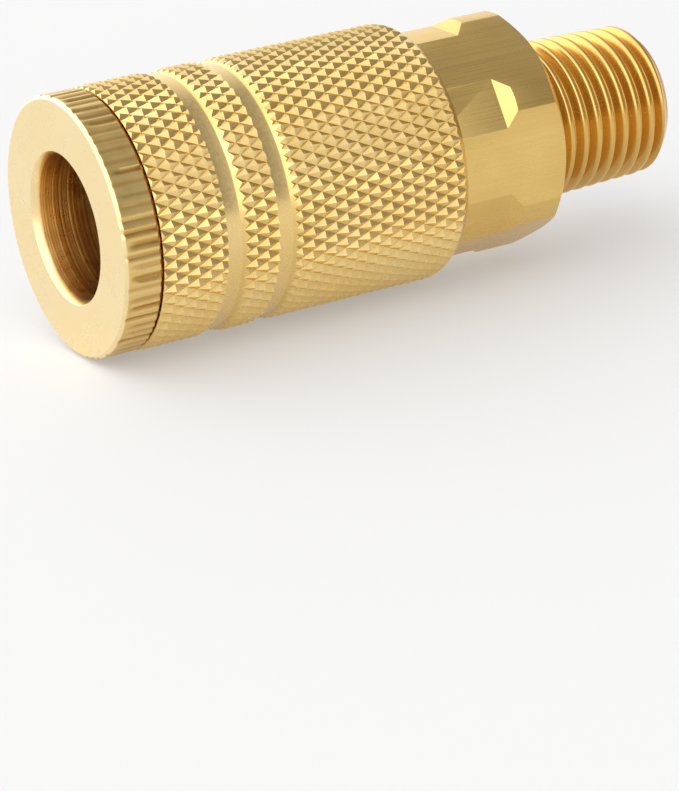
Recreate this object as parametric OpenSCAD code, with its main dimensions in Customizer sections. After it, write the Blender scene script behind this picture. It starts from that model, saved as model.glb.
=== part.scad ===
// Quick disconnect coupler for compressed air, with a male pipe thread.
// It lies along X. The mouth faces -X and the thread points along +X.
// The origin is on the axis, at the thread's hand-tight gauge plane.

/* [Overall] */
// Length from the mouth face to the end of the thread
overall_len = 56.4; // [54:0.1:70]
// Hexagon across its flats
hex_af = 19.05; // [16:0.05:24]
// Hexagon that shows between the sleeve and the thread
hex_len = 10.6; // [8:0.1:16]
// Thinnest wall of the sleeve, over the hexagon
sleeve_wall = 1.2; // [0.9:0.05:2]

/* [Socket] */
// Bore that takes the plug
socket_bore = 12.5; // [10.5:0.05:15]
// Depth from the mouth face to the plug's stop
socket_depth = 14.4; // [14.2:0.1:17]
// Length of the lead-in chamfer
mouth_chamfer_len = 0.75; // [0.3:0.05:1.2]
// Width of the lead-in chamfer
mouth_chamfer_w = 0.25; // [0.1:0.05:0.6]
// How much the bore widens behind its guiding stretch, on the radius
socket_relief = 0.25; // [0.2:0.05:0.4]
// Bore that lets the plug's tip through
tip_bore = 8.2; // [7.6:0.05:9]

/* [Collar] */
// Length of the ribbed collar
collar_len = 3.4; // [2.5:0.05:5]
// How far the collar's ribs lie below the sleeve's surface
collar_step = 0.15; // [0:0.05:0.4]
// Number of ribs around the collar
rib_count = 70; // [40:1:90]
// Depth of the grooves between the ribs
rib_depth = 0.2; // [0.1:0.05:0.4]
// Chamfer on both edges of the collar
collar_chamfer = 0.25; // [0.1:0.05:0.5]

/* [Sleeve] */
// How far the sleeve pulls back
sleeve_travel = 4.5; // [3.7:0.1:5.4]
// Straight stretch inside the sleeve's front, before the cam
cam_front = 1.35; // [1:0.05:2]
// Land behind the balls
land_len = 2.2; // [1.8:0.1:3]
// Start of the front grip groove, from the sleeve's front
groove_1_at = 5.9; // [5:0.1:7]
// Start of the rear grip groove, from the sleeve's front
groove_2_at = 10.65; // [9.5:0.05:12]
// Flat floor of a grip groove
groove_floor = 1.45; // [1:0.05:1.8]
// Sloping rear wall of a grip groove
groove_slope = 0.8; // [0.5:0.1:1]
// Depth of a grip groove
groove_depth = 0.45; // [0.2:0.05:0.5]
// Length of the taper at the sleeve's rear edge
rear_edge_len = 0.9; // [0.6:0.1:2]
// Width of the taper at the sleeve's rear edge
rear_edge_w = 0.6; // [0.3:0.05:0.8]

/* [Locking balls] */
// Ball diameter
ball_dia = 3.175; // [2.8:0.005:3.85]
// How far a locked ball stands into the socket
ball_reach = 0.9; // [0.7:0.05:1.1]

/* [Springs] */
// Wire of the sleeve spring
sleeve_wire = 1.2; // [0.9:0.05:1.4]
// Wire of the valve spring
valve_wire = 0.7; // [0.5:0.05:0.9]
// Thickness of the slip ring in front of the sleeve spring
ring_t = 0.8; // [0.6:0.05:1.2]

/* [Valve] */
// How far the valve opens
valve_travel = 4; // [3:0.1:5]
// Length of the web in front of the plug seal
web_len = 2.4; // [1.8:0.1:3]
// Length of the plug seal
seal_len = 2.8; // [2:0.1:3.4]
// How far the plug seal stands into the tip bore
seal_lip = 0.3; // [0.1:0.05:0.4]
// Length of the valve seat ring
seat_len = 2.2; // [1.6:0.1:3]
// Thickness of the valve's own seal
valve_seal_t = 1.1; // [0.8:0.1:1.6]
// Thickness of the valve's head
head_t = 2.4; // [1.8:0.1:3]
// Outside diameter of the valve's nose
nose_dia = 7.2; // [6.6:0.1:7.4]
// Wall of the valve's nose
nose_wall = 1; // [0.7:0.05:1.4]

/* [Rear body] */
// Pilot of the rear body that stays inside the sleeve
hidden_len = 3.2; // [2:0.1:5]
// Joint thread between the barrel and the rear body
joint_len = 5.5; // [4:0.1:7]
// Thickness of the joint's gasket
gasket_t = 0.8; // [0.5:0.1:1.2]
// Chamber behind the gasket
chamber_len = 2.3; // [1.5:0.1:4]
// Bore for the air, through the thread
flow_bore = 7.8; // [6:0.1:8.6]
// Wall of the barrel over the valve chamber
barrel_wall = 1.35; // [1.1:0.05:1.8]
// Radius to which the hexagon's corners are turned, less half its flats
corner_reach = 0.9; // [0.7:0.05:1.45]
// How much further out the corner cuts lie than the flats
cut_reach = 0.175; // [0:0.025:0.4]
// Slope length of the wall that ends each corner cut
cut_slope = 1.5; // [1:0.1:2.4]
// Chamfer at the hexagon's thread end
hex_chamfer = 0.8; // [0.3:0.05:1.2]

/* [Pipe thread] */
// Length of the threaded end
thread_len = 13.2; // [12:0.1:15.1]
// Thread pitch, 18 to the inch
thread_pitch = 1.411; // [1.337:0.001:1.411]
// Crest diameter at the thread's end
thread_end_dia = 13.255; // [13:0.005:13.4]
// Hand-tight length from the thread's end to the gauge plane
gauge_len = 5.786; // [5.5:0.001:6.1]
// Width of each crest
crest_w = 0.16; // [0.1:0.01:0.3]
// Depth of the thread
thread_depth = 0.945; // [0.8:0.005:1]
// Chamfer at the thread's end
thread_chamfer = 0.9; // [0.5:0.1:1.4]

/* [Hidden] */
ball_count = 6;

// Clearances
run_gap = 0.1;      // radial, of a piece that slides in or on another
slide_gap = 0.15;   // radial, of the sleeve and springs over what they pass
face_gap = 0.02;    // between faces that rest on each other
stop_gap = 0.4;     // left in front of a stop at full travel
sleeve_gap = 0.1;   // between the collar and the sleeve
ball_gap = 0.06;    // around a ball in its seat
eps = 0.01;

// Radii, from the bore outwards
socket_r = socket_bore / 2;
ball_r = ball_dia / 2;
ball_lock_r = socket_r - ball_reach + ball_r;
shank_r = ball_lock_r + ball_r;
land_r = shank_r + run_gap;
relief_r = land_r + ball_reach;
joint_r = socket_r + barrel_wall;
tip_r = tip_bore / 2;
sleeve_spring_r = shank_r + slide_gap + sleeve_wire / 2;
spring_seat_r = sleeve_spring_r + sleeve_wire / 2;
hex_r = hex_af / 2;
cut_r = hex_r + cut_reach;
cut_corner_r = sqrt(pow(hex_r, 2) + pow((cut_r - hex_r * cos(30)) / sin(30), 2));
corner_r = hex_r + corner_reach;
sleeve_bore_r = max(cut_corner_r, spring_seat_r) + slide_gap;
sleeve_r = sleeve_bore_r + sleeve_wall;
collar_r = sleeve_r - collar_step;
nose_r = nose_dia / 2;
flow_r = flow_bore / 2;
head_r = socket_r - run_gap;
valve_seal_r = (tip_r + socket_r) / 2 + 0.3;
valve_spring_r = flow_r + valve_wire / 2 + 0.1;
thread_end_r = thread_end_dia / 2;

// Stations along X, from the mouth to the thread's end
x_end = gauge_len;
x_mouth = x_end - overall_len;
x_collar = x_mouth + collar_len;
x_sleeve = x_collar + sleeve_gap;
x_ball = x_sleeve + cam_front + sleeve_travel;
x_land = x_ball + land_len;
x_guide = x_ball - ball_r - 0.6;
x_stop = x_mouth + socket_depth;
x_seal = x_stop + web_len;
x_seat = x_seal + seal_len;
x_valve = x_seat + seat_len;
x_head = x_valve + valve_seal_t;
x_hex_end = x_end - thread_len;
x_sleeve_end = x_hex_end - hex_len;
x_body = x_sleeve_end - hidden_len;
x_joint_end = x_body + joint_len;
x_chamber = x_joint_end + gasket_t;
x_shoulder = x_chamber + chamber_len;
x_cut_end = x_sleeve_end + sleeve_travel + stop_gap;
x_nose = x_seal + 1;
thread_taper = 1 / 32;

$fn = 96;

// A turned solid about X, from a list of [x, radius] points.
module turned(profile) {
    rotate([0, 90, 0])
        rotate_extrude()
            polygon([for (p = profile) [p[1], p[0]]]);
}

// A plain ring about X.
module ring(x0, x1, r_in, r_out) {
    turned([[x0, r_in], [x1, r_in], [x1, r_out], [x0, r_out]]);
}

// A prism along X over an outline drawn in the YZ plane.
module bar(x0, x1) {
    translate([x0, 0, 0])
        rotate([90, 0, 90])
            linear_extrude(x1 - x0)
                children();
}

// A hexagon with flats facing Y, or turned by the given angle.
module hexagon(flat_r, turn = 0) {
    rotate(30 + turn)
        circle(r = flat_r / cos(30), $fn = 6);
}

// Outline of the collar's ribs: crest, flank, root, flank.
module rib_outline() {
    crest = 0.4;
    flank = 0.15;
    steps = [[0, 0], [crest, 0], [crest + flank, 1], [1 - flank, 1]];
    polygon([for (i = [0 : rib_count - 1]) for (s = steps)
        let (a = 360 * (i + s[0]) / rib_count, r = collar_r - s[1] * rib_depth)
        [r * cos(a), r * sin(a)]]);
}

// A round wire wound about X, with a closed turn at each end.
module coil_spring(x0, x1, mean_r, wire, turns) {
    sides = 6;
    steps = 20;
    rings = floor(turns * steps);
    closed = wire * 1.03;
    open = (x1 - x0 - wire - 2 * closed) / (turns - 2);
    function turn_x(n) = n < 1 ? n * closed
        : n > turns - 1 ? closed + (turns - 2) * open + (n - turns + 1) * closed
        : closed + (n - 1) * open;
    function wire_point(i, k) = let (
        a = 360 * i / steps,
        b = 360 * k / sides,
        r = mean_r + wire / 2 * cos(b))
        [x0 + wire / 2 + turn_x(i / steps) + wire / 2 * sin(b), r * cos(a), r * sin(a)];
    points = [for (i = [0 : rings]) for (k = [0 : sides - 1]) wire_point(i, k)];
    walls = [for (i = [0 : rings - 1]) for (k = [0 : sides - 1])
        let (a = i * sides, n = (k + 1) % sides)
        each [[a + k, a + n, a + sides + n], [a + k, a + sides + n, a + sides + k]]];
    ends = [[for (k = [sides - 1 : -1 : 0]) k],
            [for (k = [0 : sides - 1]) rings * sides + k]];
    polyhedron(points, concat(walls, ends));
}

module nose_barrel() {
    color("goldenrod")
        difference() {
            union() {
                intersection() {
                    bar(x_mouth, x_collar)
                        rib_outline();
                    turned([[x_mouth, 0], [x_mouth, collar_r - collar_chamfer],
                            [x_mouth + collar_chamfer, collar_r],
                            [x_collar - collar_chamfer, collar_r],
                            [x_collar, collar_r - collar_chamfer], [x_collar, 0]]);
                }
                ring(x_collar - eps, x_body, 0, shank_r);
                ring(x_body - eps, x_joint_end, 0, joint_r);
            }
            barrel_bores();
            for (i = [0 : ball_count - 1])
                rotate([360 * i / ball_count, 0, 0])
                    ball_seat();
        }
}

// Everything that is bored out of the barrel, from the mouth to its rear end.
module barrel_bores() {
    turned([[x_mouth - eps, 0], [x_mouth - eps, socket_r + mouth_chamfer_w],
            [x_mouth, socket_r + mouth_chamfer_w], [x_mouth + mouth_chamfer_len, socket_r],
            [x_guide, socket_r], [x_guide + socket_relief, socket_r + socket_relief],
            [x_stop, socket_r + socket_relief], [x_stop, tip_r],
            [x_seal, tip_r], [x_seal, socket_r],
            [x_joint_end + eps, socket_r], [x_joint_end + eps, 0]]);
}

// A ball's hole, straight from outside and closing round the locked ball.
module ball_seat() {
    translate([x_ball, 0, ball_lock_r]) {
        sphere(r = ball_r + ball_gap);
        cylinder(h = 2 * ball_dia, r = ball_r + ball_gap);
    }
}

module rear_body() {
    color("goldenrod")
        difference() {
            union() {
                difference() {
                    intersection() {
                        bar(x_body, x_hex_end)
                            hexagon(hex_r);
                        turned([[x_body, 0], [x_body, corner_r], [x_hex_end - hex_chamfer, corner_r],
                                [x_hex_end, hex_r], [x_hex_end, 0]]);
                    }
                    for (a = [0 : 60 : 300])
                        rotate([a, 0, 0])
                            corner_cut();
                }
                ring(x_body, x_body + 1, 0, spring_seat_r);
                pipe_thread();
            }
            turned([[x_body - eps, 0], [x_body - eps, joint_r], [x_chamber, joint_r],
                    [x_chamber, socket_r], [x_shoulder, socket_r], [x_shoulder, flow_r],
                    [x_end + eps, flow_r], [x_end + eps, 0]]);
        }
}

// What is cut off one corner of the hexagon so that the sleeve can slide over it.
module corner_cut() {
    rise = 2;
    slope_end = x_cut_end + cut_slope * rise / corner_reach;
    rotate([90, 0, 0])
        linear_extrude(hex_af, center = true)
            polygon([[x_body - eps, cut_r], [x_cut_end, cut_r],
                     [slope_end, cut_r + rise], [x_body - eps, cut_r + rise]]);
}

// A tapered thread drawn as rings, with straight crests. One crest lies on the gauge plane.
module pipe_thread() {
    function crest_r(x) = thread_end_r + (x_end - x) * thread_taper;
    flank = (thread_pitch - 2 * crest_w) / 2;
    edge = crest_w / 2;
    first = ceil(x_end / thread_pitch);
    last = ceil(x_hex_end / thread_pitch);
    teeth = [for (i = [first : -1 : last])
        let (x = i * thread_pitch, r = crest_r(x))
        each [[x + edge + flank, r - thread_depth], [x + edge, r], [x - edge, r],
              [x - edge - flank, r - thread_depth]]];
    intersection() {
        turned(concat([[x_end + thread_pitch * 2, 0]], teeth, [[x_hex_end - 1, 0]]));
        turned([[x_end, 0], [x_end, thread_end_r - thread_chamfer],
                [x_end - 2 * thread_chamfer, thread_end_r + thread_chamfer],
                [x_hex_end - eps, thread_end_r + thread_chamfer], [x_hex_end - eps, 0]]);
    }
}

module sleeve() {
    floor_r = sleeve_r - groove_depth;
    edge = collar_chamfer;
    color("gold")
        turned(concat(
            [[x_sleeve, relief_r], [x_sleeve, sleeve_r - edge], [x_sleeve + edge, sleeve_r]],
            [for (at = [groove_1_at, groove_2_at]) let (x = x_sleeve + at)
                each [[x, sleeve_r], [x, floor_r], [x + groove_floor, floor_r],
                      [x + groove_floor + groove_slope, sleeve_r]]],
            [[x_sleeve_end - rear_edge_len, sleeve_r], [x_sleeve_end, sleeve_r - rear_edge_w],
             [x_sleeve_end, sleeve_bore_r], [x_land, sleeve_bore_r], [x_land, land_r],
             [x_ball, land_r], [x_ball - sleeve_travel, relief_r]]));
}

module slip_ring() {
    color("silver")
        ring(x_land + face_gap, x_land + ring_t, shank_r + run_gap, sleeve_bore_r - run_gap);
}

module sleeve_spring() {
    x0 = x_land + ring_t + face_gap;
    x1 = x_body - face_gap;
    turns = floor((x1 - x0 - sleeve_travel) / (sleeve_wire * 1.35));
    color("lightsteelblue")
        coil_spring(x0, x1, sleeve_spring_r, sleeve_wire, turns);
}

module locking_ball(i) {
    color("lightgray")
        rotate([360 * (i - 1) / ball_count, 0, 0])
            translate([x_ball, 0, ball_lock_r])
                sphere(r = ball_r);
}

module plug_seal() {
    lip_r = tip_r - seal_lip;
    throat = seal_len / 3;
    color("dimgray")
        turned([[x_seal + face_gap, tip_r], [x_seal + throat, lip_r], [x_seat - throat, lip_r],
                [x_seat - face_gap, tip_r], [x_seat - face_gap, socket_r - face_gap],
                [x_seal + face_gap, socket_r - face_gap]]);
}

module seat_ring() {
    bevel = 0.3;
    color("goldenrod")
        turned([[x_seat, tip_r + bevel], [x_seat + bevel, tip_r], [x_valve, tip_r],
                [x_valve, socket_r], [x_seat, socket_r]]);
}

module valve_poppet() {
    flat_r = head_r - 0.75;
    boss_len = 1.6;
    boss_r = valve_spring_r - valve_wire / 2 - run_gap;
    window_w = nose_r;
    window_x = x_nose + 1.2;
    x_back = x_head + head_t;
    color("darkgoldenrod")
        difference() {
            union() {
                ring(x_nose, x_head + eps, nose_r - nose_wall, nose_r);
                intersection() {
                    ring(x_head, x_back, 0, head_r);
                    bar(x_head, x_back)
                        square(2 * flat_r, center = true);
                }
                ring(x_back - eps, x_back + boss_len, 0, boss_r);
            }
            for (a = [45, 135])
                rotate([a, 0, 0])
                    translate([window_x, -window_w / 2, -nose_dia])
                        cube([x_valve - window_x - 0.4, window_w, 2 * nose_dia]);
        }
}

module valve_seal() {
    color("dimgray")
        ring(x_valve + face_gap, x_head, nose_r, valve_seal_r);
}

module valve_spring() {
    x0 = x_head + head_t + face_gap;
    x1 = x_shoulder - face_gap;
    turns = floor((x1 - x0 - valve_travel) / (valve_wire * 1.7));
    color("lightsteelblue")
        coil_spring(x0, x1, valve_spring_r, valve_wire, turns);
}

module body_gasket() {
    color("dimgray")
        ring(x_joint_end, x_chamber, socket_r, joint_r);
}

nose_barrel();
rear_body();
sleeve();
sleeve_spring();
slip_ring();
locking_ball(1);  // locking_ball_1
locking_ball(2);  // locking_ball_2
locking_ball(3);  // locking_ball_3
locking_ball(4);  // locking_ball_4
locking_ball(5);  // locking_ball_5
locking_ball(6);  // locking_ball_6
plug_seal();
seat_ring();
valve_poppet();
valve_seal();
valve_spring();
body_gasket();
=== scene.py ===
# Looks of a brass quick disconnect coupler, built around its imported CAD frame.
# Meshes are made in millimetres in the CAD frame and scaled to metres when placed.
import math
import random

import bmesh
import bpy
from mathutils import Matrix, Vector


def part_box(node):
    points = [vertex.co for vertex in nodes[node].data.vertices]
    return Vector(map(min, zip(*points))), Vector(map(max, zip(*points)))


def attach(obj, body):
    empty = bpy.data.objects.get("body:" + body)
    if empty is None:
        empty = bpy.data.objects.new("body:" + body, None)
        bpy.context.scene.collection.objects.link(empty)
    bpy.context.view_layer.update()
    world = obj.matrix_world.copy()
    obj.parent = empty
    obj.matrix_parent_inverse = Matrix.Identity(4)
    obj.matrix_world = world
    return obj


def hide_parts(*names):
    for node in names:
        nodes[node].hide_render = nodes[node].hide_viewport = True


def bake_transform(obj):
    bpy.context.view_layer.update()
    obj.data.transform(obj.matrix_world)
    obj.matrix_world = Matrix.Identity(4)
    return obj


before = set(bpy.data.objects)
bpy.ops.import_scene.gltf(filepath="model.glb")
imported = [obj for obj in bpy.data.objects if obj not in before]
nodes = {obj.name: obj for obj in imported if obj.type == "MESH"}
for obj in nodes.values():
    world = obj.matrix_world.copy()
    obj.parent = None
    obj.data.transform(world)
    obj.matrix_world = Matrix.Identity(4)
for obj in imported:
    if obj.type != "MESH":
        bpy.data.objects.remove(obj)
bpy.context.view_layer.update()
scene = bpy.context.scene
rng = random.Random(7)

MM = 0.001


def corner(node, end):
    """Lowest (end 0) or highest (end 1) corner of a CAD node, in millimetres."""
    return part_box(node)[end] / MM


# ---------------------------------------------------------------- stations and radii, mm
X_MOUTH = corner("nose_barrel", 0).x
X_JOINT_END = corner("nose_barrel", 1).x
X_SLEEVE = corner("sleeve", 0).x
X_SLEEVE_END = corner("sleeve", 1).x
X_BODY = corner("rear_body", 0).x
X_END = corner("rear_body", 1).x
X_GASKET_END = corner("body_gasket", 1).x
SLEEVE_R = corner("sleeve", 1).z

COLLAR_LEN = 3.4
X_COLLAR = X_MOUTH + COLLAR_LEN
COLLAR_R = SLEEVE_R - 0.15
COLLAR_CHAMFER = 0.25
RIB_COUNT = 70

SOCKET_R = 6.25
SOCKET_WIDE_R = 6.5
TIP_R = 4.1
MOUTH_CHAMFER = 0.75
MOUTH_CHAMFER_W = 0.25
SOCKET_DEPTH = 14.4
WEB_LEN = 2.4
SHANK_R = 8.525
JOINT_R = 7.6

BALL_R = 1.5875
BALL_GAP = 0.06
BALL_LOCK_R = 6.9375
X_BALL = X_SLEEVE + 5.85
LAND_LEN = 2.2
LAND_R = 8.625
RELIEF_R = 9.525
SLEEVE_TRAVEL = 4.5
SLEEVE_BORE_R = 10.107

GROOVES = (5.9, 10.65)
GROOVE_FLOOR = 1.45
GROOVE_SLOPE = 0.8
GROOVE_DEPTH = 0.45
REAR_EDGE = 0.9
REAR_EDGE_W = 0.6

HEX_R = 9.525
CORNER_R = 10.425
CUT_R = 9.7
X_HEX_END = X_END - 13.2
X_CUT_END = X_SLEEVE_END + 4.9
CUT_SLOPE = 0.6
HEX_CHAMFER = 0.8
FLANGE_R = 9.875
SHOULDER = 2.3
FLOW_R = 3.9

PITCH = 1.411
THREAD_END_R = 6.6275
THREAD_TAPER = 1 / 32
THREAD_DEPTH = 0.945
THREAD_CHAMFER = 0.9

KNURL_COUNT = 62
KNURL_STEP = 1.07
KNURL_DEPTH = 0.33

# ---------------------------------------------------------------- radii where a finish or the painted shade changes, mm
FACE_EDGE_R = 10.7
SLEEVE_INSIDE_R = 10.4
THREAD_TOP_R = 6.8
THREAD_ROOT_R = 5.9

# ---------------------------------------------------------------- studio: strengths given
MOUTH_SIDE = 1.85
THREAD_SIDE = 0.36
BACK_WALL = 1.0
KEY_POWER = 0.25
FLOOR_GLOW = 0.3
KEY_SPOT = (-0.21, -0.38, 0.545)
KEY_TARGET = (-0.022, 0.0, 0.0)
KEY_SIZE = 0.3
FLOOR_SIZE = 3.0

# ---------------------------------------------------------------- camera, fitted to the photo's outlines
LENS = 191.187
SENSOR = 36.0
AZIMUTH, ELEVATION, ROLL = -28.274, 19.807, -4.503
AIM = (-22.0, 0.0, 0.0)
DISTANCE, ASIDE, BELOW = 310.57, 2.074, 20.346


# ---------------------------------------------------------------- mesh helpers
def make(name, verts, faces):
    mesh = bpy.data.meshes.new(name)
    mesh.from_pydata(verts, [], faces)
    obj = bpy.data.objects.new(name, mesh)
    scene.collection.objects.link(obj)
    tidy_normals(obj)
    return obj


def tidy_normals(obj):
    bm = bmesh.new()
    bm.from_mesh(obj.data)
    bmesh.ops.recalc_face_normals(bm, faces=bm.faces)
    bm.to_mesh(obj.data)
    bm.free()


def around(x, r, angle):
    return (x, r * math.cos(angle), r * math.sin(angle))


def tube(name, columns):
    """A closed ring-shaped solid from columns of (x, r) points, one column per angle."""
    rows = len(columns[0][1])
    verts = [around(x, r, angle) for angle, column in columns for x, r in column]
    faces = []
    for j in range(len(columns)):
        k = (j + 1) % len(columns)
        for i in range(rows):
            n = (i + 1) % rows
            faces.append((j * rows + i, j * rows + n, k * rows + n, k * rows + i))
    return make(name, verts, faces)


def lathe(name, profile, segments):
    """A turned ring: its closed profile doesn't reach the axis."""
    return tube(name, [(math.tau * j / segments, profile) for j in range(segments)])


def turned(name, profile, segments):
    """A turned solid about X. The profile starts and ends on flat discs, left out here."""
    rows = len(profile)
    verts = [around(x, r, math.tau * j / segments) for j in range(segments) for x, r in profile]
    faces = []
    for j in range(segments):
        k = (j + 1) % segments
        for i in range(rows - 1):
            faces.append((j * rows + i, j * rows + i + 1, k * rows + i + 1, k * rows + i))
    faces.append([j * rows for j in range(segments)])
    faces.append([j * rows + rows - 1 for j in reversed(range(segments))])
    return make(name, verts, faces)


def prism(name, outline, low, high):
    """A prism from low to high along X over an outline of (y, z) points."""
    n = len(outline)
    verts = [(x, y, z) for x in (low, high) for y, z in outline]
    faces = [(i, (i + 1) % n, n + (i + 1) % n, n + i) for i in range(n)]
    faces += [list(reversed(range(n))), list(range(n, 2 * n))]
    return make(name, verts, faces)


def joined(name, objs):
    """One mesh out of several separate solids."""
    verts, faces = [], []
    for o in objs:
        start = len(verts)
        verts += [tuple(o.matrix_world @ v.co) for v in o.data.vertices]
        faces += [[start + i for i in p.vertices] for p in o.data.polygons]
        bpy.data.objects.remove(o)
    return make(name, verts, faces)


def turn(obj, degrees):
    obj.data.transform(Matrix.Rotation(math.radians(degrees), 4, "X"))
    return obj


def apply_modifiers(obj):
    graph = bpy.context.evaluated_depsgraph_get()
    mesh = bpy.data.meshes.new_from_object(obj.evaluated_get(graph))
    obj.modifiers.clear()
    obj.data = mesh


def cut(obj, tool, operation):
    """An exact Boolean of obj with tool, which is used up."""
    m = obj.modifiers.new("cut", "BOOLEAN")
    m.object, m.operation, m.solver = tool, operation, "EXACT"
    bpy.context.view_layer.update()
    apply_modifiers(obj)
    bpy.data.objects.remove(tool)
    return obj


def soften(obj, width, angle):
    """A small bevel on every edge sharper than angle."""
    m = obj.modifiers.new("soften", "BEVEL")
    m.width, m.segments, m.limit_method = width, 2, "ANGLE"
    m.angle_limit = math.radians(angle)
    m.miter_outer = "MITER_ARC"
    bpy.context.view_layer.update()
    apply_modifiers(obj)
    return obj


def place(obj, body, material, crease):
    """Scales a finished mesh to metres and puts it on its body, with creases sharper than the angle."""
    obj.data.transform(Matrix.Scale(MM, 4))
    shade(obj, crease)
    obj.data.materials.clear()
    obj.data.materials.append(material)
    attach(obj, body)
    return obj


def shade(obj, crease):
    for p in obj.data.polygons:
        p.use_smooth = True
    obj.data.set_sharp_from_angle(angle=math.radians(crease))


# ---------------------------------------------------------------- material helpers
class Nodes:
    """Short names for building a material's node tree."""

    def __init__(self, name, roughness, metallic=1.0):
        self.material = bpy.data.materials.new(name)
        self.material.use_nodes = True
        self.tree = self.material.node_tree
        self.tree.nodes.clear()
        self.out = self.tree.nodes.new("ShaderNodeOutputMaterial")
        self.shader = self.tree.nodes.new("ShaderNodeBsdfPrincipled")
        self.shader.inputs["Metallic"].default_value = metallic
        self.shader.inputs["Roughness"].default_value = roughness
        self.link(self.shader.outputs[0], self.out.inputs["Surface"])
        self.place = self.tree.nodes.new("ShaderNodeTexCoord").outputs["Object"]
        split = self.node("ShaderNodeSeparateXYZ", self.place)
        self.x, self.y, self.z = split.outputs

    def link(self, a, b):
        self.tree.links.new(a, b)

    def node(self, kind, *inputs, **settings):
        n = self.tree.nodes.new(kind)
        for key, value in settings.items():
            setattr(n, key, value)
        for socket, value in zip(n.inputs, inputs):
            if value is None:
                continue
            if isinstance(value, bpy.types.NodeSocket):
                self.link(value, socket)
            else:
                socket.default_value = value
        return n

    def math(self, operation, *inputs, clamp=False):
        return self.node("ShaderNodeMath", *inputs, operation=operation, use_clamp=clamp).outputs[0]

    def radius(self):
        y_square = self.math("MULTIPLY", self.y, self.y)
        z_square = self.math("MULTIPLY", self.z, self.z)
        return self.math("SQRT", self.math("ADD", y_square, z_square))

    def vector(self, x, y, z):
        return self.node("ShaderNodeCombineXYZ", x, y, z).outputs[0]

    def rings(self, radius, along, across):
        """Places for turning marks, which change along X and with the radius but not round the axis."""
        return self.vector(self.math("MULTIPLY", self.x, along), self.math("MULTIPLY", radius, across), 0.0)

    def streaks(self, along, across):
        """Places for marks that run along X."""
        sides = [self.math("MULTIPLY", value, across) for value in (self.y, self.z)]
        return self.vector(self.math("MULTIPLY", self.x, along), *sides)

    def noise(self, vector, scale, detail=2.0, roughness=0.5):
        n = self.node("ShaderNodeTexNoise", vector)
        n.inputs["Scale"].default_value = scale
        n.inputs["Detail"].default_value = detail
        n.inputs["Roughness"].default_value = roughness
        return n.outputs["Fac"]

    def ramp(self, value, low, high, to_low=0.0, to_high=1.0):
        n = self.node("ShaderNodeMapRange", value, low, high, to_low, to_high)
        n.clamp = True
        return n.outputs[0]

    def mix(self, factor, a, b):
        n = self.tree.nodes.new("ShaderNodeMix")
        n.data_type = "RGBA"
        for socket, value in zip((n.inputs[0], n.inputs[6], n.inputs[7]), (factor, a, b)):
            if isinstance(value, bpy.types.NodeSocket):
                self.link(value, socket)
            elif socket is n.inputs[0]:
                socket.default_value = value
            else:
                socket.default_value = (*value, 1.0)
        return n.outputs[2]

    def bump(self, height, strength, distance, normal=None):
        n = self.node("ShaderNodeBump")
        if isinstance(strength, bpy.types.NodeSocket):
            self.link(strength, n.inputs["Strength"])
        else:
            n.inputs["Strength"].default_value = strength
        n.inputs["Distance"].default_value = distance
        self.link(height, n.inputs["Height"])
        if normal is not None:
            self.link(normal, n.inputs["Normal"])
        return n.outputs[0]

    def use(self, color=None, roughness=None, normal=None):
        for name, value in (("Base Color", color), ("Roughness", roughness), ("Normal", normal)):
            if isinstance(value, bpy.types.NodeSocket):
                self.link(value, self.shader.inputs[name])
            elif value is not None:
                self.shader.inputs[name].default_value = (*value, 1.0)
        return self.material


PALE = (0.88, 0.71, 0.39)
GOLD = (0.90, 0.65, 0.27)
RICH = (0.80, 0.55, 0.18)
DEEP = (0.66, 0.36, 0.08)
BROWN = (0.42, 0.19, 0.03)


def stains(m):
    """Slow, faint colour variation over a piece."""
    return m.ramp(m.noise(m.place, 160.0, 3.0), 0.35, 0.7)


def turned_brass():
    m = Nodes("turned_brass", 0.28)
    r = m.radius()
    # tool marks: rings on faces by radius, and on round walls by x
    marks = m.noise(m.rings(r, 9000.0, 5000.0), 1.0, 4.0, 0.6)
    turns = m.noise(m.rings(r, 4600.0, 400.0), 1.0, 2.0)
    grain = m.noise(m.place, 700.0, 2.0)
    inside = m.ramp(r, (SOCKET_WIDE_R + 0.2) * MM, SOCKET_WIDE_R * MM)
    depth = m.ramp(m.x, (X_MOUTH + 0.7) * MM, (X_MOUTH + 0.9) * MM)
    # the bore past the mouth's chamfer: painted shade in the colour below, and harder turning marks in the
    # bump
    bore = m.math("MULTIPLY", inside, depth)
    rim = m.ramp(m.x, (X_MOUTH + 0.2) * MM, (X_MOUTH + 0.3) * MM)
    collar = m.math("MULTIPLY", m.ramp(r, FACE_EDGE_R * MM, (FACE_EDGE_R + 0.05) * MM), rim)
    # painted shade: the bottoms of the collar's rib grooves are painted brown
    groove = m.math("MULTIPLY", collar, m.ramp(r, (COLLAR_R - 0.02) * MM, (COLLAR_R - 0.16) * MM))
    scored = m.noise(m.streaks(150.0, 3600.0), 1.0, 3.0, 0.6)
    color = m.mix(m.math("MULTIPLY", stains(m), 0.3), PALE, GOLD)
    color = m.mix(m.math("MULTIPLY", collar, m.ramp(scored, 0.45, 0.65, 0.75, 1.0)), color, RICH)
    # painted shade in the rib grooves
    color = m.mix(m.math("MULTIPLY", groove, 0.75), color, BROWN)
    # painted shade in the bore: richer, and browner in bands along the turning marks
    color = m.mix(m.math("MULTIPLY", bore, 0.6), color, RICH)
    color = m.mix(m.math("MULTIPLY", bore, m.ramp(turns, 0.35, 0.65, 0.25, 0.8)), color, BROWN)
    rough = m.ramp(grain, 0.3, 0.7, 0.25, 0.34)
    normal = m.bump(marks, 0.1, 0.00002)
    normal = m.bump(turns, m.ramp(bore, 0.0, 1.0, 0.05, 0.7), 0.00005, normal)
    normal = m.bump(m.math("MULTIPLY", scored, collar), 0.5, 0.00005, normal)
    return m.use(color, rough, normal)


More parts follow.
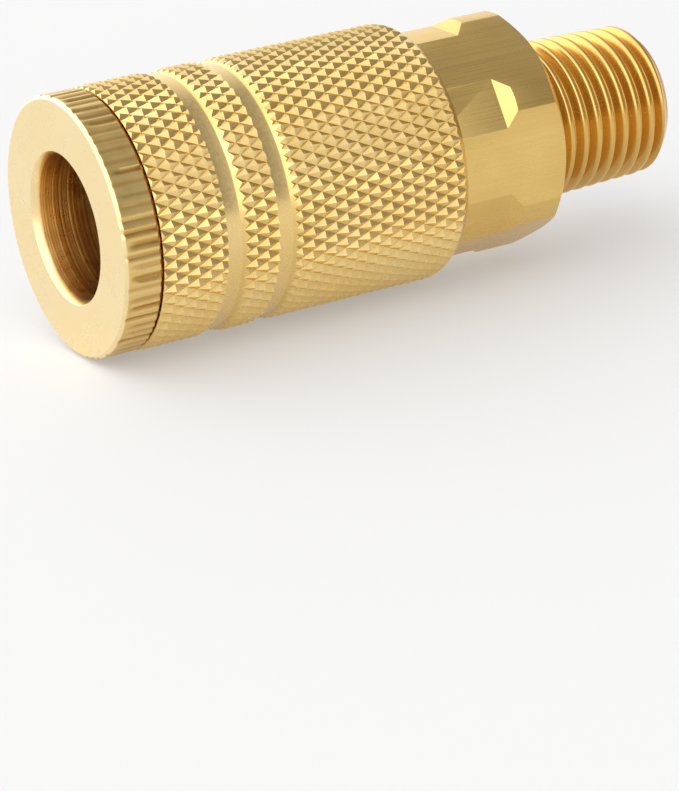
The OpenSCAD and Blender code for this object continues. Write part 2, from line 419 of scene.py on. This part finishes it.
def knurled_brass():
    m = Nodes("knurled_brass", 0.22)
    r = m.radius()
    marks = m.noise(m.rings(r, 5000.0, 2000.0), 1.0, 3.0, 0.6)
    grain = m.noise(m.place, 3000.0, 3.0)
    # painted shade in the knurl: the valleys are painted richer than the peaks
    height = m.ramp(r, (SLEEVE_R - KNURL_DEPTH) * MM, (SLEEVE_R - 0.05) * MM)
    smooth = m.ramp(r, (SLEEVE_R - GROOVE_DEPTH + 0.02) * MM, (SLEEVE_R - GROOVE_DEPTH) * MM)
    color = m.mix(height, RICH, GOLD)
    # the groove floors are painted mostly back to gold, without the knurl's painted valley shade
    color = m.mix(m.math("MULTIPLY", smooth, 0.8), color, GOLD)
    color = m.mix(m.math("MULTIPLY", stains(m), 0.3), color, PALE)
    # painted shade inside the sleeve: its bore is painted deep
    inside = m.ramp(r, (SLEEVE_INSIDE_R + 0.2) * MM, SLEEVE_INSIDE_R * MM)
    color = m.mix(m.math("MULTIPLY", inside, 0.7), color, DEEP)
    rough = m.ramp(grain, 0.3, 0.7, 0.2, 0.3)
    normal = m.bump(marks, 0.15, 0.00002)
    normal = m.bump(grain, 0.06, 0.00002, normal)
    return m.use(color, rough, normal)


def drawn_brass():
    m = Nodes("drawn_brass", 0.3)
    r = m.radius()
    thread = m.ramp(m.x, (X_HEX_END + 0.02) * MM, (X_HEX_END + 0.12) * MM)
    # draw lines run along the bar; the turned thread has none
    lines = m.noise(m.streaks(45.0, 6500.0), 1.0, 3.0, 0.6)
    wide = m.noise(m.streaks(40.0, 700.0), 1.0, 2.0)
    dents = m.noise(m.place, 900.0, 2.0)
    specks = m.noise(m.place, 2600.0, 2.0)
    color = m.mix(m.ramp(wide, 0.35, 0.75, 0.0, 0.3), RICH, GOLD)
    color = m.mix(m.math("MULTIPLY", stains(m), 0.25), color, DEEP)
    color = m.mix(m.ramp(specks, 0.66, 0.74, 0.0, 0.12), color, DEEP)
    # painted shade in the thread: darker on the crests and darkest in the roots
    thread_root_shade = m.ramp(r, THREAD_TOP_R * MM, THREAD_ROOT_R * MM)
    color = m.mix(m.math("MULTIPLY", thread, m.ramp(thread_root_shade, 0.0, 1.0, 0.45, 0.9)), color, DEEP)
    rough = m.math("SUBTRACT", m.ramp(lines, 0.3, 0.7, 0.24, 0.36), m.math("MULTIPLY", thread, 0.08))
    flat = m.math("SUBTRACT", 1.0, thread)
    normal = m.bump(m.math("MULTIPLY", lines, flat), 0.08, 0.00002)
    normal = m.bump(m.math("MULTIPLY", wide, flat), 0.06, 0.00006, normal)
    normal = m.bump(dents, 0.12, 0.00006, normal)
    return m.use(color, rough, normal)


def inner_brass():
    m = Nodes("inner_brass", 0.3)
    r = m.radius()
    marks = m.noise(m.rings(r, 8000.0, 8000.0), 1.0, 3.0)
    color = m.mix(m.math("MULTIPLY", stains(m), 0.5), GOLD, DEEP)
    return m.use(color, m.ramp(marks, 0.3, 0.7, 0.26, 0.38), m.bump(marks, 0.25, 0.00002))


def steel(name, color, worn, roughness, scale):
    m = Nodes(name, roughness)
    grain = m.noise(m.place, scale, 4.0, 0.6)
    tint = m.mix(m.ramp(m.noise(m.place, 400.0, 3.0), 0.35, 0.7), color, worn)
    rough = m.ramp(grain, 0.3, 0.7, roughness * 0.8, roughness * 1.3)
    return m.use(tint, rough, m.bump(grain, 0.15, 0.00001))


def rubber():
    m = Nodes("black_rubber", 0.6, metallic=0.0)
    grain = m.noise(m.place, 6000.0, 4.0, 0.6)
    worn = m.ramp(m.noise(m.place, 300.0, 3.0), 0.3, 0.75)
    tint = m.mix(worn, (0.018, 0.018, 0.018), (0.05, 0.048, 0.045))
    return m.use(tint, m.ramp(grain, 0.3, 0.7, 0.5, 0.75), m.bump(grain, 0.3, 0.00002))


TURNED = turned_brass()
KNURLED = knurled_brass()
DRAWN = drawn_brass()
INNER = inner_brass()
BALL_STEEL = steel("ball_steel", (0.62, 0.62, 0.63), (0.5, 0.5, 0.51), 0.12, 3000.0)
SPRING_STEEL = steel("spring_steel", (0.42, 0.42, 0.43), (0.3, 0.29, 0.28), 0.3, 5000.0)
PLATED_STEEL = steel("plated_steel", (0.6, 0.6, 0.57), (0.5, 0.48, 0.42), 0.28, 4000.0)
RUBBER = rubber()


# ---------------------------------------------------------------- ribbed barrel
def barrel_profile(collar):
    """The barrel's closed outline, with the collar's own points put in from front to back."""
    x_stop = X_MOUTH + SOCKET_DEPTH
    x_seal = x_stop + WEB_LEN
    x_guide = X_BALL - BALL_R - 0.6
    fine = 0.04
    return [
        (X_MOUTH, SOCKET_R + MOUTH_CHAMFER_W + fine), (X_MOUTH, COLLAR_R - COLLAR_CHAMFER - fine),
        (X_MOUTH + fine, COLLAR_R - COLLAR_CHAMFER + fine / 2), *collar,
        (X_COLLAR + fine, COLLAR_R - COLLAR_CHAMFER - fine), (X_COLLAR + fine, SHANK_R),
        (X_BODY - 0.3, SHANK_R), (X_BODY, SHANK_R - 0.3), (X_BODY, JOINT_R),
        (X_JOINT_END - 0.3, JOINT_R), (X_JOINT_END, JOINT_R - 0.3), (X_JOINT_END, SOCKET_R),
        (x_seal, SOCKET_R), (x_seal, TIP_R + 0.15), (x_seal - 0.15, TIP_R),
        (x_stop + 0.3, TIP_R), (x_stop, TIP_R + 0.3), (x_stop, SOCKET_WIDE_R),
        (x_guide + 0.25, SOCKET_WIDE_R), (x_guide, SOCKET_R),
        (X_MOUTH + MOUTH_CHAMFER, SOCKET_R), (X_MOUTH + fine, SOCKET_R + MOUTH_CHAMFER_W),
    ]


def rib_grooves():
    """Each groove's angle, half width in radians, depth, where it starts and how fast it deepens."""
    pitch = math.tau / RIB_COUNT
    return [(pitch * (i + rng.uniform(-0.08, 0.08)), pitch * rng.uniform(0.3, 0.44),
             rng.uniform(0.08, 0.19), rng.uniform(-0.9, 0.3), rng.uniform(0.4, 1.4))
            for i in range(RIB_COUNT)]


def barrel():
    stations = (0.25, 0.4, 0.65, 1.0, 1.5, 2.1, 2.7, 3.15)
    grooves = rib_grooves()
    columns = []
    for i, (angle, half, depth, start, run) in enumerate(grooves):
        after = grooves[(i + 1) % RIB_COUNT]
        gap = (after[0] - angle) % math.tau
        land = ((angle + half) + (angle + gap - after[1])) / 2
        for offset, share in ((-half, 0.0), (-half * 0.35, 0.8), (0.0, 1.0), (half * 0.35, 0.8), (half, 0.0)):
            collar = []
            for x in stations:
                t = min(1.0, max(0.0, (x - start) / run))
                collar.append((X_MOUTH + x, COLLAR_R - depth * share * t * t * (3 - 2 * t)))
            columns.append((angle + offset, barrel_profile(collar)))
        columns.append((land, barrel_profile([(X_MOUTH + x, COLLAR_R) for x in stations])))
    obj = tube("ribbed_barrel", columns)
    seats = []
    for i in range(6):
        steps = [(BALL_LOCK_R - (BALL_R + BALL_GAP) * math.cos(a), (BALL_R + BALL_GAP) * math.sin(a))
                 for a in (math.radians(d) for d in (6, 18, 32, 48, 64, 78, 90))]
        seat = turned("seat", steps + [(BALL_LOCK_R + 4 * BALL_R, BALL_R + BALL_GAP)], 48)
        seat.data.transform(Matrix.Translation((X_BALL, 0, 0)) @ Matrix.Rotation(-math.pi / 2, 4, "Y"))
        seats.append(turn(seat, 60 * i))
    cut(obj, joined("seats", seats), "DIFFERENCE")
    place(obj, "body", TURNED, 28)
    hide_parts("nose_barrel")


# ---------------------------------------------------------------- knurled sleeve
def knurl():
    """A solid bar whose wall is a lattice of pyramids: peaks and pits alternate in both directions."""
    around_count = 2 * KNURL_COUNT
    low = X_SLEEVE - 2 * KNURL_STEP
    rows = math.ceil((X_SLEEVE_END - X_SLEEVE + 4 * KNURL_STEP) / KNURL_STEP) + 1
    verts = []
    for i in range(rows):
        for j in range(around_count):
            peak = (i + j) % 2 == 0
            r = SLEEVE_R - (rng.uniform(0.0, 0.02) if peak else KNURL_DEPTH + rng.uniform(-0.015, 0.015))
            angle = math.tau * (j + rng.uniform(-0.02, 0.02)) / around_count
            verts.append(around(low + KNURL_STEP * (i + rng.uniform(-0.02, 0.02)), r, angle))
    faces = []
    for i in range(rows - 1):
        for j in range(around_count):
            k = (j + 1) % around_count
            a, b = i * around_count + j, i * around_count + k
            c, d = a + around_count, b + around_count
            if (i + j) % 2 == 0:
                faces += [(a, b, c), (b, d, c)]
            else:
                faces += [(a, b, d), (a, d, c)]
    faces.append(list(range(around_count)))
    faces.append([(rows - 1) * around_count + j for j in reversed(range(around_count))])
    return make("knurl", verts, faces)


def sleeve():
    proud = 0.3
    top = SLEEVE_R + proud
    floor = SLEEVE_R - GROOVE_DEPTH
    front = 0.25
    profile = [(X_SLEEVE, RELIEF_R), (X_SLEEVE, SLEEVE_R - front), (X_SLEEVE + front + proud, top)]
    for at in GROOVES:
        x = X_SLEEVE + at
        rise = GROOVE_SLOPE * (GROOVE_DEPTH + proud) / GROOVE_DEPTH
        profile += [(x - 0.02, top), (x, floor + 0.06), (x + 0.06, floor), (x + GROOVE_FLOOR - 0.1, floor),
                    (x + GROOVE_FLOOR, floor + 0.02), (x + GROOVE_FLOOR + rise, top)]
    back = REAR_EDGE * (REAR_EDGE_W + proud) / REAR_EDGE_W
    profile += [(X_SLEEVE_END - back, top), (X_SLEEVE_END - 0.05, SLEEVE_R - REAR_EDGE_W + 0.03),
                (X_SLEEVE_END, SLEEVE_R - REAR_EDGE_W - 0.03), (X_SLEEVE_END, SLEEVE_BORE_R + 0.1),
                (X_SLEEVE_END - 0.1, SLEEVE_BORE_R), (X_BALL + LAND_LEN, SLEEVE_BORE_R),
                (X_BALL + LAND_LEN, LAND_R), (X_BALL, LAND_R), (X_BALL - SLEEVE_TRAVEL, RELIEF_R)]
    obj = lathe("knurled_sleeve", profile, 256)
    cut(obj, knurl(), "INTERSECT")
    place(obj, "sleeve", KNURLED, 20)
    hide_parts("sleeve")


# ---------------------------------------------------------------- hexagon and pipe thread
def thread():
    """A tapered right-hand thread as one solid bar, longer than needed at both ends."""
    steps = 120
    # share of the pitch from the middle of a crest, and depth below the crest
    shape = ((-0.5, 0.82), (-0.46, 0.80), (-0.42, 0.72), (-0.22, 0.2), (-0.18, 0.1), (-0.13, 0.04),
             (-0.06, 0.0), (0.06, 0.0), (0.13, 0.04), (0.18, 0.1), (0.22, 0.2), (0.42, 0.72), (0.46, 0.80))
    first = math.floor((X_HEX_END - 1.5) / PITCH)
    last = math.ceil((X_END + 2.0) / PITCH)
    marks = [(n + at, depth) for n in range(first, last) for at, depth in shape]
    rows, turn_rows = len(marks), len(shape)
    verts = []
    for at, depth in marks:
        for j in range(steps):
            x = PITCH * (at + j / steps)
            r = THREAD_END_R + (X_END - x) * THREAD_TAPER - depth * THREAD_DEPTH
            verts.append(around(x, r, math.tau * j / steps))
    faces = []
    for i in range(rows - turn_rows - 1):
        for j in range(steps):
            a, b = i * steps + j, (i + 1) * steps + j
            if j + 1 < steps:
                faces.append((a, a + 1, b + 1, b))
            else:
                faces.append((a, (i + turn_rows) * steps, (i + turn_rows + 1) * steps, b))
    low_ring = [j for j in range(steps)] + [i * steps for i in range(turn_rows, 0, -1)]
    end = rows - turn_rows - 1
    high_ring = [end * steps + j for j in range(steps)] + [i * steps for i in range(end + turn_rows, end, -1)]
    for ring, x in ((low_ring, verts[0][0] - 0.5), (high_ring, verts[end * steps][0] + 2.0)):
        verts.append((x, 0.0, 0.0))
        hub = len(verts) - 1
        for a, b in zip(ring, ring[1:] + ring[:1]):
            faces.append((a, b, hub))
    obj = make("thread", verts, faces)
    drop_loose(obj)
    top = THREAD_END_R + THREAD_CHAMFER
    body = [(X_HEX_END - 1.0, top), (X_END - 2 * THREAD_CHAMFER, top),
            (X_END, THREAD_END_R - THREAD_CHAMFER)]
    return cut(obj, turned("thread_ends", body, 160), "INTERSECT")


def drop_loose(obj):
    bm = bmesh.new()
    bm.from_mesh(obj.data)
    bmesh.ops.delete(bm, geom=[v for v in bm.verts if not v.link_faces], context="VERTS")
    bm.to_mesh(obj.data)
    bm.free()


def hexagon_body():
    reach = HEX_R / math.cos(math.radians(30))
    outline = [(reach * math.cos(math.radians(60 * i + 30)), reach * math.sin(math.radians(60 * i + 30)))
               for i in range(6)]
    obj = prism("hexagon", outline, X_BODY + 0.3, X_HEX_END + 1.0)
    body = [(X_BODY - 1.0, CORNER_R), (X_HEX_END - HEX_CHAMFER, CORNER_R), (X_HEX_END, HEX_R)]
    cut(obj, turned("turned_corners", body, 288), "INTERSECT")
    rise = 2.0
    side = [(X_BODY - 1.0, CUT_R), (X_CUT_END, CUT_R), (X_CUT_END + rise / CUT_SLOPE, CUT_R + rise),
            (X_BODY - 1.0, CUT_R + rise)]
    half = 5.0
    wedges = []
    for i in range(6):
        verts = [(x, y, z) for y in (-half, half) for x, z in side]
        faces = [(k, (k + 1) % 4, 4 + (k + 1) % 4, 4 + k) for k in range(4)]
        wedges.append(turn(make("wedge", verts, faces + [(3, 2, 1, 0), (4, 5, 6, 7)]), 60 * i))
    cut(obj, joined("wedges", wedges), "DIFFERENCE")
    soften(obj, 0.06, 14)
    flange = [(X_BODY, FLANGE_R - 0.2), (X_BODY + 0.2, FLANGE_R), (X_BODY + 1.0, FLANGE_R)]
    cut(obj, turned("flange", flange, 144), "UNION")
    cut(obj, thread(), "UNION")
    x_shoulder = X_GASKET_END + SHOULDER
    bore = [(X_BODY - 1.0, JOINT_R), (X_GASKET_END, JOINT_R), (X_GASKET_END, SOCKET_R),
            (x_shoulder, SOCKET_R),
            (x_shoulder, FLOW_R), (X_END - 0.4, FLOW_R), (X_END + 0.1, FLOW_R + 0.5)]
    cut(obj, turned("bore", bore, 128), "DIFFERENCE")
    obj.name = "threaded_hexagon"
    place(obj, "body", DRAWN, 25)
    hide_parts("rear_body")


# ---------------------------------------------------------------- springs
def spring(name, low, high, mean_r, wire, turns):
    """A round wire wound about X with a closed turn at each end."""
    sides, steps = 14, 40
    closed = wire * 1.03
    length = high - low
    open_pitch = (length - wire - 2 * closed) / (turns - 2)
    rings = turns * steps
    verts = []
    for i in range(rings + 1):
        n = i / steps
        if n < 1:
            x = n * closed
        elif n > turns - 1:
            x = closed + (turns - 2) * open_pitch + (n - turns + 1) * closed
        else:
            x = closed + (n - 1) * open_pitch
        for k in range(sides):
            b = math.tau * k / sides
            px = low + wire / 2 + x + wire / 2 * math.sin(b)
            verts.append(around(px, mean_r + wire / 2 * math.cos(b), math.tau * n))
    faces = []
    for i in range(rings):
        for k in range(sides):
            n = (k + 1) % sides
            faces.append((i * sides + k, i * sides + n, (i + 1) * sides + n, (i + 1) * sides + k))
    faces += [list(range(sides)), [rings * sides + k for k in range(sides)]]
    return make(name, verts, faces)


def springs():
    for name, node, moving, mean_r, wire in (
            ("wound_sleeve_spring", "sleeve_spring", "slip_ring", 9.275, 1.2),
            ("wound_valve_spring", "valve_spring", "valve", 4.35, 0.7)):
        low, high = corner(node, 0).x, corner(node, 1).x
        obj = spring(name, low, high, mean_r, wire, 7)
        obj.data.transform(Matrix.Scale(MM, 4))
        shade(obj, 40)
        obj.data.materials.append(SPRING_STEEL)
        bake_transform(obj)
        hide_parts(node)


# ---------------------------------------------------------------- carried-over CAD pieces
def paint_cad():
    finish = {"slip_ring": PLATED_STEEL, "plug_seal": RUBBER, "valve_seal": RUBBER,
              "body_gasket": RUBBER, "seat_ring": INNER, "valve_poppet": INNER}
    for i in range(1, 7):
        finish[f"locking_ball_{i}"] = BALL_STEEL
    for name, material in finish.items():
        nodes[name].data.materials.clear()
        nodes[name].data.materials.append(material)


# ---------------------------------------------------------------- camera, floor and light
def camera():
    azimuth, elevation, roll = (math.radians(a) for a in (AZIMUTH, ELEVATION, ROLL))
    back = Vector((math.sin(azimuth) * math.cos(elevation), -math.cos(azimuth) * math.cos(elevation),
                   math.sin(elevation)))
    right = (-back).cross(Vector((0, 0, 1))).normalized()
    up = right.cross(-back)
    right, up = (math.cos(roll) * right + math.sin(roll) * up,
                 math.cos(roll) * up - math.sin(roll) * right)
    spot = Vector(AIM) + DISTANCE * back - ASIDE * right - BELOW * up
    data = bpy.data.cameras.new("camera")
    data.sensor_fit = "HORIZONTAL"
    data.sensor_width = SENSOR
    data.lens = LENS
    data.clip_start, data.clip_end = 0.01, 20.0
    obj = bpy.data.objects.new("camera", data)
    scene.collection.objects.link(obj)
    basis = Matrix((right, up, back)).transposed().to_4x4()
    obj.matrix_world = Matrix.Translation(spot * MM) @ basis
    scene.camera = obj


def floor():
    """A plain pale floor under the sleeve, with a weak white glow."""
    z = -SLEEVE_R * MM
    corners = [(x, y, z) for x, y in ((-FLOOR_SIZE, -FLOOR_SIZE), (FLOOR_SIZE, -FLOOR_SIZE),
                                      (FLOOR_SIZE, FLOOR_SIZE), (-FLOOR_SIZE, FLOOR_SIZE))]
    mesh = bpy.data.meshes.new("floor")
    mesh.from_pydata(corners, [], [(0, 1, 2, 3)])
    obj = bpy.data.objects.new("floor", mesh)
    scene.collection.objects.link(obj)
    m = Nodes("floor", 0.7, metallic=0.0)
    patches = m.ramp(m.noise(m.place, 4.0, 2.0), 0.3, 0.7)
    tint = m.mix(patches, (0.45, 0.45, 0.45), (0.47, 0.47, 0.467))
    m.shader.inputs["Emission Color"].default_value = (1.0, 1.0, 1.0, 1.0)
    m.shader.inputs["Emission Strength"].default_value = FLOOR_GLOW
    obj.data.materials.append(m.use(tint))


def key_light():
    data = bpy.data.lights.new("key", "AREA")
    data.shape = "RECTANGLE"
    data.size = data.size_y = KEY_SIZE
    data.energy = KEY_POWER
    obj = bpy.data.objects.new("key", data)
    scene.collection.objects.link(obj)
    obj.location = KEY_SPOT
    obj.rotation_euler = (Vector(KEY_TARGET) - Vector(KEY_SPOT)).to_track_quat("-Z", "Y").to_euler()


def light():
    """Plain white studio light: brighter on the mouth's side, dimmer on the thread's, with a back wall."""
    world = bpy.data.worlds.new("studio")
    scene.world = world
    world.use_nodes = True
    tree = world.node_tree
    split = tree.nodes.new("ShaderNodeSeparateXYZ")
    tree.links.new(tree.nodes.new("ShaderNodeTexCoord").outputs["Generated"], split.inputs[0])

    def fade(value, *limits):
        n = tree.nodes.new("ShaderNodeMapRange")
        tree.links.new(value, n.inputs[0])
        for i, limit in enumerate(limits):
            n.inputs[i + 1].default_value = limit
        return n.outputs[0]

    side = fade(split.outputs[0], -0.25, 0.35, MOUTH_SIDE, THREAD_SIDE)
    wall = fade(split.outputs[1], 0.3, 1.0, 0.0, BACK_WALL)
    total = tree.nodes.new("ShaderNodeMath")
    total.operation = "ADD"
    tree.links.new(side, total.inputs[0])
    tree.links.new(wall, total.inputs[1])
    back = tree.nodes["Background"]
    back.inputs["Color"].default_value = (1.0, 1.0, 1.0, 1.0)
    tree.links.new(total.outputs[0], back.inputs["Strength"])
    key_light()


scene.view_settings.view_transform = "Standard"
scene.view_settings.look = "None"

camera()
barrel()
sleeve()
hexagon_body()
springs()
paint_cad()
floor()
light()
